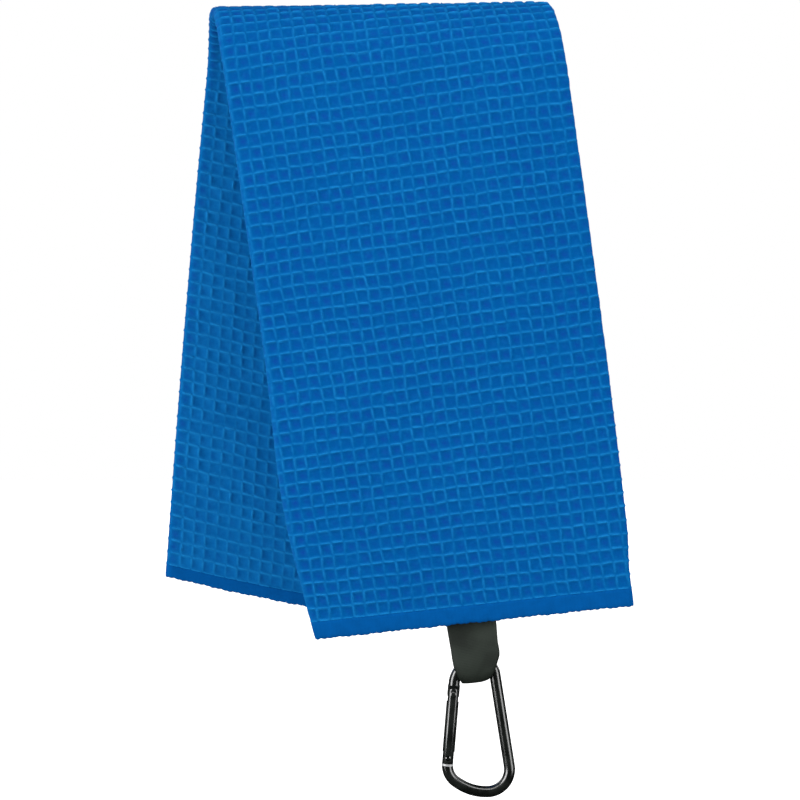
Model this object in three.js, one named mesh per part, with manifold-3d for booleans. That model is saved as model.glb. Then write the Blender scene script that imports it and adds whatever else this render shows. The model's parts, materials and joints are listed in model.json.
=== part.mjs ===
// Golf towel: a waffle cloth folded lengthwise in three and hung over a rail, with a webbing loop
// and a small snap carabiner at the middle of its front hem.
// Millimetres, +Z up, +X to the right, the front half faces -Y.
// The origin is the middle of the line where the cloth rests on the rail.

import * as THREE from 'three';
import { mergeVertices } from 'three/addons/utils/BufferGeometryUtils.js';
import Module from 'manifold-3d';

// ---- driving dimensions --------------------------------------------------------------------

const GAP = 0.3; // clearance between separate pieces

// The folded strip of cloth.
const RAIL_RADIUS = 23; // underside of the top fold
const STRIP_THICKNESS = 7; // three layers of waffle cloth
const FOLD_RADIUS = RAIL_RADIUS + STRIP_THICKNESS;
const QUARTER = (FOLD_RADIUS * Math.PI) / 2; // outer arc from the crest to a hanging half
const STRIP_LEFT = -71.8; // left fold at the crest
const STRIP_RIGHT = 71.2; // right fold at the crest
const FRONT_LEAN = Math.tan(THREE.MathUtils.degToRad(8.2)); // the strip crosses the rail askew
const FRONT_DROP = 276.8; // crest to the front hem's edge, along the outer face, at mid width
const FRONT_HEM_SLOPE = 0.105;
const BACK_DROP = 277.8; // crest to the back hem's edge, at mid width
const BACK_HEM_SLOPE = 0.18;
const HEM_HEIGHT = 5.5;
const LIFT_BEVEL = 4.5; // room at the front half's top for it to be lifted

// The 20 mm webbing loop.
const WEBBING_WIDTH = 20;
const WEBBING_THICKNESS = 1.2;
const PLIES = 2 * WEBBING_THICKNESS + GAP; // both plies, where they are sewn together
const TAIL_LENGTH = 18; // sewn in behind the front layer
const LOOP_TOP = new THREE.Vector3(38.7, -26.45, -256.2); // where the loop bends out of the hem
const LOOP_LENGTH = 22.9; // from there to the underside of its turn
const LOOP_TURN_WIDTH = 11.4; // the webbing is squeezed between the carabiner's sides
const LOOP_TURN_SHIFT = 1.5;
const LOOP_HALF_GAP = 4.2; // half the room inside the turn
const TAIL_ROOM = 1.4; // lets the loop swing under the hem
const BAR_TACK = { width: 17, height: 1.6, proud: 0.5 };

// The carabiner: round wire bent to an asymmetric D, narrow end up, with a gate on the left.
const WIRE = 4.7;
const GATE = 5.1;
const HANG_POINT = new THREE.Vector3(41.4, -26.45, -272.6); // inside of the narrow bow
const CORNERS = [
  // corners of the wire's centre line, in the carabiner's plane, each with its bend radius
  { at: [-9.38, 2.34], bend: 9.6 }, // narrow bow, gate side
  { at: [5.93, 2.34], bend: 5.95 }, // narrow bow, spine side
  { at: [14.44, -51.68], bend: 9.3 }, // wide end, spine side
  { at: [-3.15, -51.68], bend: 20.3 }, // wide end, middle
  { at: [-13.28, -45.0], bend: 8.2 }, // wide end, gate side
];
const PIVOT_BELOW_CORNER = 13.6; // rivet, down the gate side from its upper corner
const GATE_LENGTH = 28.6; // rivet to the gate's lower end
const HINGE_TONGUE = { thickness: 2.0, radius: 2.2 };
const HINGE_SHOULDER = 3.0; // full wire ends this far above the rivet
const NOSE = { thickness: 1.8, height: 4.2, width: 3.6 };
const SLOT_CLEARANCE = 0.6;
const RIVET = { shaft: 1.7, head: 2.5, headHeight: 0.35 };
const LATCH_PIN = { diameter: 1.5, aboveEnd: 2.1 };
const SPRING = { coil: 1.9, wire: 0.35, length: 7.5, turns: 8 };
const SPRING_BORE = 2.7;
const PLUNGER = { diameter: 1.7, length: 2.2 };

// ---- materials -----------------------------------------------------------------------------

const paint = (color, roughness, metalness = 0) =>
  new THREE.MeshStandardMaterial({ color, roughness, metalness });
const blueWaffle = paint(0x0562aa, 0.9);
const blueHem = paint(0x0559a1, 0.85);
const blackWebbing = paint(0x363e37, 0.7);
const blackThread = paint(0x1b1e1c, 0.8);
const blackAnodised = paint(0x141816, 0.25, 0.9);
const bareSteel = paint(0xb9bcbe, 0.3, 1);

// ---- helpers -------------------------------------------------------------------------------

const wasm = await Module();
wasm.setup();

const lerp = THREE.MathUtils.lerp;
const clamp01 = (x) => THREE.MathUtils.clamp(x, 0, 1);
const ease = (x) => clamp01(x) ** 2 * (3 - 2 * clamp01(x));

// A closed body made of two skins over a grid of across x along cells, joined round the rim.
// point(u, v, w) gives a place, with u and v from 0 to 1, on the inner skin, w 0, or the outer, w 1.
function skinnedSolid(across, along, point) {
  const vertices = [];
  const index = (i, j, w) => (w * (along + 1) + j) * (across + 1) + i;
  for (const w of [0, 1])
    for (let j = 0; j <= along; j++)
      for (let i = 0; i <= across; i++) vertices.push(...point(i / across, j / along, w));
  const triangles = [];
  const quad = (a, b, c, d) => triangles.push(a, b, c, a, c, d);
  for (let j = 0; j < along; j++)
    for (let i = 0; i < across; i++) {
      quad(index(i, j, 1), index(i + 1, j, 1), index(i + 1, j + 1, 1), index(i, j + 1, 1));
      quad(index(i, j, 0), index(i, j + 1, 0), index(i + 1, j + 1, 0), index(i + 1, j, 0));
    }
  for (let i = 0; i < across; i++) {
    quad(index(i, 0, 0), index(i + 1, 0, 0), index(i + 1, 0, 1), index(i, 0, 1));
    quad(index(i, along, 0), index(i, along, 1), index(i + 1, along, 1), index(i + 1, along, 0));
  }
  for (let j = 0; j < along; j++) {
    quad(index(0, j, 0), index(0, j, 1), index(0, j + 1, 1), index(0, j + 1, 0));
    quad(index(across, j, 0), index(across, j + 1, 0), index(across, j + 1, 1), index(across, j, 1));
  }
  const geometry = new THREE.BufferGeometry();
  geometry.setAttribute('position', new THREE.Float32BufferAttribute(vertices, 3));
  geometry.setIndex(triangles);
  return facingOut(geometry);
}

function facingOut(geometry) {
  const place = geometry.attributes.position;
  const index = geometry.index.array;
  const [a, b, c] = [new THREE.Vector3(), new THREE.Vector3(), new THREE.Vector3()];
  let volume = 0;
  for (let k = 0; k < index.length; k += 3) {
    a.fromBufferAttribute(place, index[k]);
    b.fromBufferAttribute(place, index[k + 1]);
    c.fromBufferAttribute(place, index[k + 2]);
    volume += a.dot(b.cross(c));
  }
  if (volume < 0)
    for (let k = 0; k < index.length; k += 3) [index[k], index[k + 1]] = [index[k + 1], index[k]];
  return geometry;
}

function welded(geometry) {
  const bare = geometry.clone();
  bare.deleteAttribute('normal');
  bare.deleteAttribute('uv');
  return mergeVertices(bare, 1e-5);
}

function solid(geometry) {
  const whole = welded(geometry);
  const vertProperties = new Float32Array(whole.attributes.position.array);
  const triVerts = new Uint32Array(whole.index.array);
  return new wasm.Manifold(new wasm.Mesh({ numProp: 3, vertProperties, triVerts }));
}

function geometryOf(body) {
  const mesh = body.getMesh();
  const geometry = new THREE.BufferGeometry();
  geometry.setAttribute('position', new THREE.BufferAttribute(new Float32Array(mesh.vertProperties), 3));
  geometry.setIndex([...mesh.triVerts]);
  return geometry;
}

function named(name, geometry, material) {
  const mesh = new THREE.Mesh(geometry, material);
  mesh.name = name;
  return mesh;
}

// A cylinder along Z from low to high.
function rod(diameter, low, high, sides = 20) {
  const geometry = new THREE.CylinderGeometry(diameter / 2, diameter / 2, high - low, sides);
  return geometry.rotateX(Math.PI / 2).translate(0, 0, (low + high) / 2);
}

// A cylinder along Y, centred on the carabiner's plane.
function crossPin(diameter, length, sides = 20) {
  return new THREE.CylinderGeometry(diameter / 2, diameter / 2, length, sides);
}

const block = (width, depth, low, high) =>
  new THREE.BoxGeometry(width, depth, high - low).translate(0, 0, (low + high) / 2);

// ---- the cloth -----------------------------------------------------------------------------

// Left and right folds of the front half, before the lean, at a drop from the crest.
const frontLeft = (drop) => STRIP_LEFT + 4.2 * Math.max(0, (drop - 230) / 54) ** 1.6;
const frontRight = (drop) => STRIP_RIGHT - 3.6 * (drop / 270) ** 2;
const backLeft = (drop) => STRIP_LEFT - 0.1 * drop + 0.000055 * drop ** 2;
const backRight = (drop) => backLeft(drop) + (STRIP_RIGHT - STRIP_LEFT) - 0.015 * drop;

// A point of the strip: u across, drop from the crest along the outer face, depth from its
// underside, side -1 on the front half and +1 on the back half.
function stripPoint(side, u, drop, depth) {
  const x =
    side < 0
      ? lerp(frontLeft(drop), frontRight(drop), u) + drop * FRONT_LEAN
      : lerp(backLeft(drop), backRight(drop), u);
  const angle = Math.min(drop / FOLD_RADIUS, Math.PI / 2);
  const radius = RAIL_RADIUS + depth;
  const y = side * radius * Math.sin(angle);
  const z = -RAIL_RADIUS + radius * Math.cos(angle) - Math.max(0, drop - QUARTER);
  return [x, y, z];
}

const frontEdge = (u) => {
  const across = lerp(frontLeft(FRONT_DROP), frontRight(FRONT_DROP), u);
  return FRONT_DROP - FRONT_HEM_SLOPE * across;
};
const backEdge = (u) => {
  const middle = lerp(backLeft(BACK_DROP), backRight(BACK_DROP), 0.5);
  return BACK_DROP + BACK_HEM_SLOPE * (lerp(backLeft(BACK_DROP), backRight(BACK_DROP), u) - middle);
};

function topFold() {
  return skinnedSolid(10, 24, (u, v, w) => {
    const drop = lerp(-QUARTER, QUARTER, v);
    const side = drop < 0 ? 1 : -1;
    return stripPoint(side, u, Math.abs(drop), w * STRIP_THICKNESS);
  });
}

// The front half's upper end slopes away on its outer side, so that it can be lifted forward.
function frontHalf() {
  return skinnedSolid(12, 18, (u, v, w) => {
    const top = QUARTER + GAP + w * LIFT_BEVEL;
    const drop = lerp(top, frontEdge(u) - HEM_HEIGHT - GAP, v);
    return stripPoint(-1, u, drop, w * STRIP_THICKNESS);
  });
}

function backHalf() {
  return skinnedSolid(12, 18, (u, v, w) => {
    const drop = lerp(QUARTER + GAP, backEdge(u) - HEM_HEIGHT - GAP, v);
    return stripPoint(1, u, drop, w * STRIP_THICKNESS);
  });
}

function hemBand(side, edge) {
  return skinnedSolid(24, 2, (u, v, w) => {
    const drop = edge(u) - HEM_HEIGHT * (1 - v);
    return stripPoint(side, u, drop, lerp(GAP, STRIP_THICKNESS - GAP, w));
  });
}

// ---- the webbing ---------------------------------------------------------------------------

const strapLean = -Math.atan(FRONT_LEAN);

// The sewn tail stands above the loop's top, inside the folded strip.
function tailBlock(width, depth, low, high, y = 0) {
  return block(width, depth, low, high)
    .translate(0, y, 0)
    .rotateY(strapLean)
    .translate(LOOP_TOP.x, LOOP_TOP.y, LOOP_TOP.z);
}

const tailLow = TAIL_ROOM;
const tailHigh = TAIL_ROOM + TAIL_LENGTH;
const tailPocket = () =>
  tailBlock(
    WEBBING_WIDTH + 2 * GAP,
    PLIES + 2 * (BAR_TACK.proud + 2 * GAP),
    -TAIL_LENGTH,
    tailHigh + GAP,
  );

// A dense row of stitches across the back of the tail, share of the way up it.
function barTack(share) {
  const low = lerp(tailLow, tailHigh, share);
  const y = PLIES / 2 + GAP + BAR_TACK.proud / 2;
  return tailBlock(BAR_TACK.width, BAR_TACK.proud, low, low + BAR_TACK.height, y);
}

// The loop's centre line in the Y-Z plane: down the front ply, round the turn, up the back ply.
function loopStations() {
  const half = LOOP_HALF_GAP + WEBBING_THICKNESS / 2;
  const turnCentre = -(LOOP_LENGTH - LOOP_HALF_GAP - WEBBING_THICKNESS);
  const sewn = (WEBBING_THICKNESS + GAP) / 2;
  const stations = [];
  const legSteps = 7;
  for (let k = 0; k <= legSteps; k++) {
    const share = k / legSteps;
    stations.push({ y: -lerp(sewn, half, ease(share)), z: turnCentre * share });
  }
  const turnSteps = 12;
  for (let k = 1; k < turnSteps; k++) {
    const angle = (Math.PI * k) / turnSteps;
    stations.push({ y: -half * Math.cos(angle), z: turnCentre - half * Math.sin(angle) });
  }
  for (let k = legSteps; k >= 0; k--) stations.push({ y: -stations[k].y, z: stations[k].z });
  return stations;
}

function webbingLoop() {
  const stations = loopStations();
  const last = stations.length - 1;
  const lean = Math.tan(-strapLean);
  return skinnedSolid(8, last, (u, v, w) => {
    const k = Math.round(v * last);
    const before = stations[Math.max(k - 1, 0)];
    const after = stations[Math.min(k + 1, last)];
    const along = new THREE.Vector2(after.y - before.y, after.z - before.z).normalize();
    const offset = (w - 0.5) * WEBBING_THICKNESS;
    const fall = -stations[k].z / LOOP_LENGTH;
    const squeeze = ease((fall - 0.42) / 0.36);
    const width = lerp(WEBBING_WIDTH, LOOP_TURN_WIDTH, squeeze);
    const middle = lerp(-stations[k].z * lean, LOOP_TURN_SHIFT, ease((fall - 0.5) / 0.5));
    const across = (u - 0.5) * width;
    const askew = across * lean * (1 - ease(fall)); // its top follows the hem
    return [
      LOOP_TOP.x + middle + across,
      LOOP_TOP.y + stations[k].y - along.y * offset,
      LOOP_TOP.z + stations[k].z + along.x * offset + askew,
    ];
  });
}

// ---- the carabiner -------------------------------------------------------------------------

const corner = (k) => new THREE.Vector2(...CORNERS[(k + CORNERS.length) % CORNERS.length].at);

// Tangent points, centre and angles of the bend at a corner.
function bendAt(k) {
  const [before, here, after] = [corner(k - 1), corner(k), corner(k + 1)];
  const toBefore = before.clone().sub(here).normalize();
  const toAfter = after.clone().sub(here).normalize();
  const half = Math.acos(toBefore.dot(toAfter)) / 2;
  const radius = CORNERS[k].bend;
  const inward = toBefore.clone().add(toAfter).normalize();
  const centre = here.clone().addScaledVector(inward, radius / Math.sin(half));
  const start = here.clone().addScaledVector(toBefore, radius / Math.tan(half));
  const end = here.clone().addScaledVector(toAfter, radius / Math.tan(half));
  return { centre, start, end, radius };
}

const gateSide = corner(-1).sub(corner(0)).normalize(); // down the gate side
const pivot = corner(0).addScaledVector(gateSide, PIVOT_BELOW_CORNER);
const gateTilt = Math.atan2(-gateSide.x, -gateSide.y);

// The wire from its hinge shoulder over the narrow bow, down the spine and round to the nose.
function framePath() {
  const path = new THREE.CurvePath();
  const at = (p) => new THREE.Vector3(p.x, 0, p.y);
  const shoulder = pivot.clone().addScaledVector(gateSide, -HINGE_SHOULDER);
  const nose = pivot.clone().addScaledVector(gateSide, GATE_LENGTH + GAP);
  let from = shoulder;
  CORNERS.forEach((_, k) => {
    const bend = bendAt(k);
    path.add(new THREE.LineCurve3(at(from), at(bend.start)));
    const a0 = bend.start.clone().sub(bend.centre).angle();
    let turn = bend.end.clone().sub(bend.centre).angle() - a0;
    if (turn > 0) turn -= 2 * Math.PI;
    const arc = new THREE.Curve();
    arc.getPoint = (t, target = new THREE.Vector3()) => {
      const angle = a0 + turn * t;
      const x = bend.centre.x + bend.radius * Math.cos(angle);
      const z = bend.centre.y + bend.radius * Math.sin(angle);
      return target.set(x, 0, z);
    };
    path.add(arc);
    from = bend.end;
  });
  path.add(new THREE.LineCurve3(at(from), at(nose)));
  return path;
}

function roundSection(diameter, sides) {
  const shape = new THREE.Shape();
  for (let k = 0; k < sides; k++) {
    const angle = (2 * Math.PI * (k + 0.5)) / sides;
    const [x, y] = [(diameter / 2) * Math.cos(angle), (diameter / 2) * Math.sin(angle)];
    if (k === 0) shape.moveTo(x, y);
    else shape.lineTo(x, y);
  }
  shape.closePath();
  return shape;
}

// Places geometry built along the gate, with its rivet at the origin and the gate running down.
const alongGate = (geometry) => geometry.rotateY(gateTilt).translate(pivot.x, 0, pivot.y);

function carabinerFrame() {
  const wire = new THREE.ExtrudeGeometry(roundSection(WIRE, 12), { steps: 84, extrudePath: framePath() });
  const tongueTop = HINGE_SHOULDER + 0.8;
  const tongue = solid(alongGate(crossPin(2 * HINGE_TONGUE.radius, HINGE_TONGUE.thickness, 24))).add(
    solid(alongGate(block(2 * HINGE_TONGUE.radius, HINGE_TONGUE.thickness, 0, tongueTop))),
  );
  const end = -GATE_LENGTH - GAP;
  const nose = solid(alongGate(block(NOSE.width, NOSE.thickness, end - 0.8, end + NOSE.height)));
  const notchMiddle = -GATE_LENGTH + LATCH_PIN.aboveEnd;
  const notchHalf = LATCH_PIN.diameter / 2 + GAP;
  const notch = block(NOSE.width, NOSE.thickness * 2, notchMiddle - notchHalf, notchMiddle + notchHalf);
  notch.translate(NOSE.width / 2 - notchHalf, 0, 0);
  const hole = crossPin(RIVET.shaft + 2 * GAP, WIRE);
  const whole = solid(facingOut(welded(wire))).add(tongue).add(nose);
  return geometryOf(whole.subtract(solid(alongGate(notch))).subtract(solid(alongGate(hole))));
}

function carabinerGate() {
  const barrel = solid(rod(GATE, -GATE_LENGTH, 0, 24)).add(solid(crossPin(GATE, GATE, 24)));
  const round = solid(rod(GATE, -GATE_LENGTH, GATE, 24));
  const hingeSlot = block(
    2 * GATE,
    HINGE_TONGUE.thickness + SLOT_CLEARANCE,
    -HINGE_TONGUE.radius - 0.8,
    GATE,
  );
  const latchSlot = block(
    2 * GATE,
    NOSE.thickness + SLOT_CLEARANCE,
    -GATE_LENGTH - 1,
    -GATE_LENGTH + NOSE.height + 2 * GAP,
  );
  const boreFloor = -HINGE_TONGUE.radius - 0.8 - PLUNGER.length - SPRING.length;
  const bore = rod(SPRING_BORE, boreFloor, 0, 16);
  const rivetHole = crossPin(RIVET.shaft + 2 * GAP, 2 * GATE);
  const pinHole = crossPin(LATCH_PIN.diameter + 2 * GAP, 2 * GATE);
  pinHole.translate(0, 0, -GATE_LENGTH + LATCH_PIN.aboveEnd);
  const cuts = [hingeSlot, latchSlot, bore, rivetHole, pinHole].map(solid);
  const whole = cuts.reduce((body, cut) => body.subtract(cut), barrel.intersect(round));
  return alongGate(geometryOf(whole));
}

function hingeRivet() {
  const half = GATE / 2 + GAP;
  const shaft = solid(crossPin(RIVET.shaft, 2 * half));
  const heads = [-1, 1].map((side) => {
    const head = new THREE.CylinderGeometry(RIVET.head / 2, RIVET.head / 2, RIVET.headHeight, 20);
    return solid(head.translate(0, side * (half + RIVET.headHeight / 2 - 0.01), 0));
  });
  return alongGate(geometryOf(shaft.add(heads[0]).add(heads[1])));
}

function latchPin() {
  const pin = crossPin(LATCH_PIN.diameter, GATE - 1.2, 16);
  return alongGate(pin.translate(0, 0, -GATE_LENGTH + LATCH_PIN.aboveEnd));
}

const springTop = -HINGE_TONGUE.radius - 0.5 - PLUNGER.length;

function gateSpring() {
  const coil = new THREE.Curve();
  const pitch = (SPRING.length - 2 * GAP - SPRING.wire) / SPRING.turns;
  coil.getPoint = (t, target = new THREE.Vector3()) => {
    const angle = 2 * Math.PI * SPRING.turns * t;
    const z = springTop - GAP - SPRING.wire / 2 - pitch * SPRING.turns * t;
    const radius = (SPRING.coil - SPRING.wire) / 2;
    return target.set(radius * Math.cos(angle), radius * Math.sin(angle), z);
  };
  const section = roundSection(SPRING.wire, 6);
  const geometry = new THREE.ExtrudeGeometry(section, { steps: 12 * SPRING.turns, extrudePath: coil });
  return facingOut(welded(alongGate(geometry)));
}

function springPlunger() {
  const high = springTop + PLUNGER.length;
  const radius = PLUNGER.diameter / 2;
  const profile = [
    [0, springTop],
    [radius, springTop],
    [radius, high - radius / 2],
    [radius * 0.6, high - radius / 8],
    [0, high],
  ].map(([r, z]) => new THREE.Vector2(r, z));
  return alongGate(new THREE.LatheGeometry(profile, 16).rotateX(Math.PI / 2));
}

// ---- assembly ------------------------------------------------------------------------------

const towel = new THREE.Group();
const pocket = solid(tailPocket());
const cutForTail = (geometry) => geometryOf(solid(geometry).subtract(pocket));

towel.add(
  named('towel_top_fold', topFold(), blueWaffle),
  named('towel_back_half', backHalf(), blueWaffle),
  named('towel_front_half', cutForTail(frontHalf()), blueWaffle),
  named('back_hem', hemBand(1, backEdge), blueHem),
  named('front_hem', cutForTail(hemBand(-1, frontEdge)), blueHem),
  named('webbing_tail', tailBlock(WEBBING_WIDTH, PLIES, tailLow, tailHigh), blackWebbing),
  named('lower_bar_tack', barTack(0.3), blackThread),
  named('upper_bar_tack', barTack(0.75), blackThread),
  named('webbing_loop', webbingLoop(), blackWebbing),
);

const carabiner = new THREE.Group();
carabiner.position.copy(HANG_POINT);
carabiner.add(
  named('carabiner_frame', carabinerFrame(), blackAnodised),
  named('carabiner_gate', carabinerGate(), blackAnodised),
  named('hinge_rivet', hingeRivet(), blackAnodised),
  named('latch_pin', latchPin(), blackAnodised),
  named('gate_spring', gateSpring(), bareSteel),
  named('spring_plunger', springPlunger(), bareSteel),
);
towel.add(carabiner);

export default towel;
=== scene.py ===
"""Golf towel: waffle cloth folded in three over a rail, with a webbing loop and a small carabiner.

The shapes are worked out in millimetres in the frame's axes and written to the meshes in metres.
"""

import json
import math

import bpy
import numpy as np
from mathutils import Matrix, Vector


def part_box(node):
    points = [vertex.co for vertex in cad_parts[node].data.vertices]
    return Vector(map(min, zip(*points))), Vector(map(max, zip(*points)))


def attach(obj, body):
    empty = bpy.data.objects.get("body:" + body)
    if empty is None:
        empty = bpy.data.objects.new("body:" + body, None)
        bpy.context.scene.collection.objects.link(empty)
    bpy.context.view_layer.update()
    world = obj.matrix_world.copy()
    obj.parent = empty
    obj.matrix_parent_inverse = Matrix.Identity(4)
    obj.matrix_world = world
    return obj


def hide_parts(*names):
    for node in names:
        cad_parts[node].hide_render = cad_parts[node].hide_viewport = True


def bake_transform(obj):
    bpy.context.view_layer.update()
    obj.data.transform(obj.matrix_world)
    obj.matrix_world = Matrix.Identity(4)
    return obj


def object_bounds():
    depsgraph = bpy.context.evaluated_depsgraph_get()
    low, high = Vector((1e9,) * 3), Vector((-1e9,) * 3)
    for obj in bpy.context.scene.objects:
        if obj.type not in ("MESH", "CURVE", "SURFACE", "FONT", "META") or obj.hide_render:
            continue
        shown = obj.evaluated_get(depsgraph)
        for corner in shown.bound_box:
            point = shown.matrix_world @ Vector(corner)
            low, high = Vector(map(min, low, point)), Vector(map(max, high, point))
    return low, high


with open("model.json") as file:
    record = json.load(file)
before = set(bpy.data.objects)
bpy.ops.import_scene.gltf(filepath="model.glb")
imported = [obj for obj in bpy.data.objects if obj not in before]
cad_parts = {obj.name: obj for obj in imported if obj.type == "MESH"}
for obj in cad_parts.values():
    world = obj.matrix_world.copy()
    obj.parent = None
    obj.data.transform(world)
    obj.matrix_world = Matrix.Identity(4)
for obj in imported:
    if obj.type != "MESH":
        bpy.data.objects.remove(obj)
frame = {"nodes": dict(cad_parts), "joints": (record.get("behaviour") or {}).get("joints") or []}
cad_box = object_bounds()

MM = 0.001
joints = {j["name"]: Vector(j["pos_m"]) / MM for j in frame["joints"]}

# ---- the cloth's dimensions, mm --------------------------------------------------------------

FOLD_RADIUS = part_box("towel_top_fold")[1].y / MM  # outer face of the strip over the rail
STRIP_THICKNESS = 7.0  # three layers
RAIL_RADIUS = FOLD_RADIUS - STRIP_THICKNESS
QUARTER = FOLD_RADIUS * math.pi / 2
HALF_WIDTH = 200.0  # the flat cloth runs from -200 to 200 across
LEFT_BEND, RIGHT_BEND = (-79, -63), (63, 74)  # across the flat cloth, where it turns round the folds
FRONT_END = 280.9  # along the cloth from the crest to each end
BACK_END = -279.4
FRONT_HEM, BACK_HEM, SIDE_HEM = 7.6, 5.6, 5.6
COLUMN_PITCH = 5.0
ROWS = 101  # waffle cells from one end's hem to the other's
ROW_PITCH = (FRONT_END - FRONT_HEM - BACK_END - BACK_HEM) / ROWS
LEAN = math.radians(8.2)  # the strip crosses the rail askew
SIN, COS = math.sin(LEAN), math.cos(LEAN)

OUTER = 5.85  # depth of the outer layer's middle above the rail
LEFT_ROLL = 2.35  # bend radius of the left fold, which the innermost layer turns round
RIGHT_ROLL = 1.175  # bend radius of the right fold, which the middle layer turns round
EDGE = 0.4  # from a bend's middle surface to the fold's edge
ACROSS_SHIFT = 0.4  # of the flat cloth's middle from the strip's
FLOOR, RIDGE = 0.15, 1.15  # waffle cell floor and ridge top, above the layer's middle
REVERSE = 0.9  # reverse side, below the layer's middle
COLUMN_WIDTH, ROW_WIDTH = 0.45, 0.45

TAIL_MIDDLE, TAIL_TOP = -1.1, 260.0  # where the webbing's tail lies in the strip
STITCH_PITCH = 2.6  # of the overlocked hems


def smooth(x):
    x = np.clip(x, 0, 1)
    return x * x * (3 - 2 * x)


def fold_lines(t):
    """The strip's left and right fold edges, t along the cloth from the crest."""
    ahead, behind = np.maximum(t, 0), np.maximum(-t, 0)
    gathered = 4.1 * (np.maximum(0, t - 232) / 50) ** 1.6
    bulge = 1.5 * np.exp(-(((t - 212) / 34) ** 2))
    back_bulge = 0.8 * np.exp(-(((behind - 20) / 25) ** 2))
    past_crest = smooth(behind / 10)
    left = -71.1 + gathered - bulge - 0.4 * past_crest - back_bulge * past_crest
    narrowing = 3.5 * (ahead / 272) ** 2
    right = 70.6 - narrowing + 0.8 * smooth((ahead - 30) / 200) - 1.2 * smooth((ahead - 248) / 20)
    return left, right - 0.015 * behind


def section(u, t):
    """Where a point of the flat cloth lies in the folded strip: place across, depth, the
    outward normal of its face side, and how much it is bent, on the left fold and the right."""
    left, right = fold_lines(t)
    place = u + ACROSS_SHIFT
    start_l, start_r = left + LEFT_ROLL + EDGE, right - RIGHT_ROLL - EDGE
    over_l, over_r = start_l - place, place - start_r
    turn_l = np.clip(over_l / LEFT_ROLL, 0, math.pi)
    turn_r = np.clip(over_r / RIGHT_ROLL, 0, math.pi)
    on_l, on_r = over_l > 0, over_r > 0
    past_l = np.maximum(0, over_l - math.pi * LEFT_ROLL)
    past_r = np.maximum(0, over_r - math.pi * RIGHT_ROLL)
    s = np.where(on_l, start_l - LEFT_ROLL * np.sin(turn_l) + past_l, place)
    s = np.where(on_r, start_r + RIGHT_ROLL * np.sin(turn_r) - past_r, s)
    depth = np.where(on_l, OUTER - LEFT_ROLL * (1 - np.cos(turn_l)), OUTER)
    depth = np.where(on_r, OUTER - RIGHT_ROLL * (1 - np.cos(turn_r)), depth)
    # The two thirds inside step back behind the webbing's tail.
    at_tail = smooth((14.5 - np.abs(s - TAIL_MIDDLE)) / 3.5) * smooth((t - TAIL_TOP + 6) / 6)
    depth = depth - 2.4 * at_tail * ((past_l > 0) | (past_r > 0))
    normal_s = np.where(on_l, -np.sin(turn_l), np.where(on_r, np.sin(turn_r), 0))
    normal_d = np.where(on_l, np.cos(turn_l), np.where(on_r, np.cos(turn_r), 1))
    return s, depth, normal_s, normal_d, np.sin(turn_l), np.sin(turn_r)


def sway(s, t):
    """Gentle waves of the hanging halves, outward, which leave the crest and the tail alone."""
    near_tail = smooth((44 - np.hypot(s - TAIL_MIDDLE, np.maximum(t, 0) - 275)) / 30)
    waves = 0.9 * np.sin(s / 31 + t / 70 + 0.6) + 0.7 * np.sin(s / 55 - t / 48 + 2.1)
    return waves * smooth((np.abs(t) - 40) / 120) * (1 - near_tail)


def wrap(s, t, depth):
    """A point of the strip hung over the rail: across, along from the crest, above the rail."""
    ahead, behind = np.maximum(t, 0), np.maximum(-t, 0)
    x = s * COS + ahead * SIN - (0.1 * behind - 0.000055 * behind**2)
    front = ahead * COS - s * SIN + 0.038 * s * smooth((ahead - 200) / 80)
    low = smooth(behind / 120)
    back = 0.995 * behind + SIN * s * (1 - low) + low * (0.165 * s - 0.0006 * s**2)
    drop = np.where(t >= 0, front, -back)
    angle = np.clip(drop / FOLD_RADIUS, -math.pi / 2, math.pi / 2)
    crest_lift = (0.4 + 0.9 * s / 71) * smooth(1 - np.abs(drop) / 40)
    radius = RAIL_RADIUS + depth + sway(s, t) + crest_lift
    y = -radius * np.sin(angle)
    z = -RAIL_RADIUS + radius * np.cos(angle) - np.maximum(0, np.abs(drop) - QUARTER)
    return np.stack(np.broadcast_arrays(x, y, z), axis=-1)


def cloth_point(u, t, height):
    """A point at a height above the middle of the cloth's thickness, on its face side."""
    s, depth, normal_s, normal_d, *_ = section(u, t)
    return wrap(s + height * normal_s, t, depth + height * normal_d)


def wobble(u, t):
    """How far the woven grid strays, along the cloth and across it."""
    along = 0.12 * np.sin(u / 11.3 + t / 61 + 0.7) + 0.12 * np.sin(u / 4.1 + 2.2) * np.sin(t / 7.9 + 0.4)
    across = 0.2 * np.sin(t / 13.1 + u / 47 + 1.9) + 0.16 * np.sin(t / 4.7 + 0.3) * np.sin(u / 8.3 + 1.2)
    return along, across


def chance(i, j, kind):
    """A fixed random number from 0 to 1 for each cell."""
    value = np.sin(i * 12.9898 + j * 78.233 + kind * 37.719) * 43758.5453
    return value - np.floor(value)


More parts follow.
